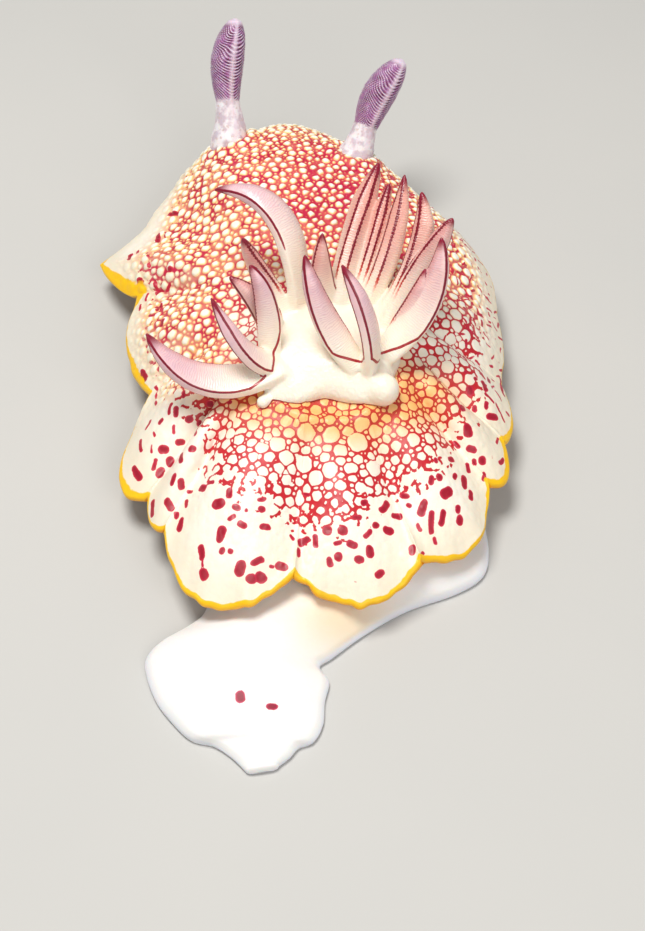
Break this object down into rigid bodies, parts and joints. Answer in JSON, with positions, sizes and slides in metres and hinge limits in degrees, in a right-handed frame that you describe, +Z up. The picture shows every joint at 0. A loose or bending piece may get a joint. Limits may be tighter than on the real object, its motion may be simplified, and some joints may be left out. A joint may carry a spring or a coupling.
{
  "type": "red-netted goniobranch",
  "caption": "Life-size sea slug crawling with its tail trailing: lobed mantle over a flat foot, a raised plume of gills and two ringed rhinophores.",
  "frame": {"origin": "on the flat sole of the foot, below the middle of the back, at the level of the floor", "axes": "+Y towards the head, +X to the animal's right, +Z up"},
  "size_m": [0.0375, 0.0742, 0.022],
  "materials": {
    "mantle": "moist skin: cream with a crimson net and a yellow-orange margin",
    "foot": "moist, smooth and white",
    "gill": "moist, pinkish and faintly see-through, with dark red lines",
    "rhinophore": "moist lilac leaves with pale edges"
  },
  "bodies": {
    "root": {"head": "mantle", "back_front": "mantle", "back_rear": "mantle", "skirt_left_front": "mantle", "skirt_left": "mantle", "skirt_left_rear": "mantle", "skirt_rear_left": "mantle", "skirt_rear_middle": "mantle", "skirt_rear_right": "mantle", "skirt_right_rear": "mantle", "skirt_right_front": "mantle", "oral_tentacle_left": "foot", "oral_tentacle_right": "foot", "foot_front": "foot", "foot_middle": "foot", "foot_rear": "foot", "tail": "foot", "rhinophore_left": "rhinophore", "rhinophore_right": "rhinophore", "gill_plume": "gill"}
  },
  "joints": []
}
